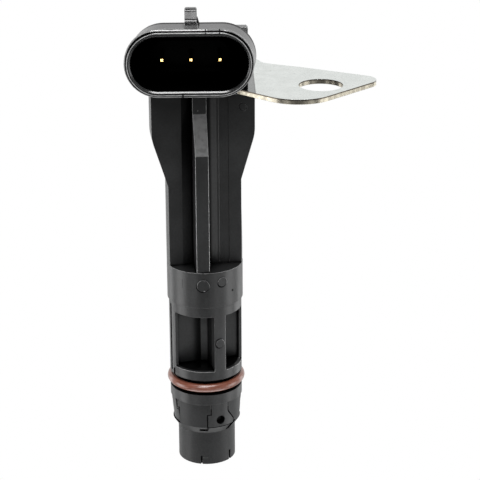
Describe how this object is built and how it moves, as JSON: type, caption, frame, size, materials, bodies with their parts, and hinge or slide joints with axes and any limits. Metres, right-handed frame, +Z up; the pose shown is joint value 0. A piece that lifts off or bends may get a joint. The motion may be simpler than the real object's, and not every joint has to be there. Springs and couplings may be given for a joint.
{
  "type": "camshaft position sensor",
  "caption": "Long-stem Hall camshaft position sensor with obround plug socket, flat steel ear, finned paddle stem, open cage, O-ring and cylindrical sensing tip.",
  "frame": {"origin": "centre of the flat sensing face at the lower end, on the axis of the stem", "axes": "+Z up along the stem towards the plug, the socket faces -Y, the ear with the bolt hole reaches to +X"},
  "size_m": [0.0506, 0.0354, 0.1001],
  "materials": {
    "moulded_plastic": "satin moulded black",
    "carrier_plastic": "satin moulded black",
    "cap_plastic": "satin moulded black",
    "plated_steel": "zinc-plated sheet, fine grain",
    "seal_rubber": "brown fluoro rubber",
    "gold_strip": "gold-plated",
    "chip_package": "moulded epoxy",
    "soft_iron": "machined",
    "magnet": "sintered",
    "capacitor_body": "ceramic block"
  },
  "bodies": {
    "root": {"housing": "moulded_plastic", "sensor_carrier": "carrier_plastic", "tip_cap": "cap_plastic", "mounting_bracket": "plated_steel", "o_ring": "seal_rubber", "supply_terminal": "gold_strip", "ground_terminal": "gold_strip", "signal_terminal": "gold_strip", "hall_chip": "chip_package", "pole_piece": "soft_iron", "bias_magnet": "magnet", "supply_capacitor": "capacitor_body", "output_capacitor": "capacitor_body"}
  },
  "joints": []
}
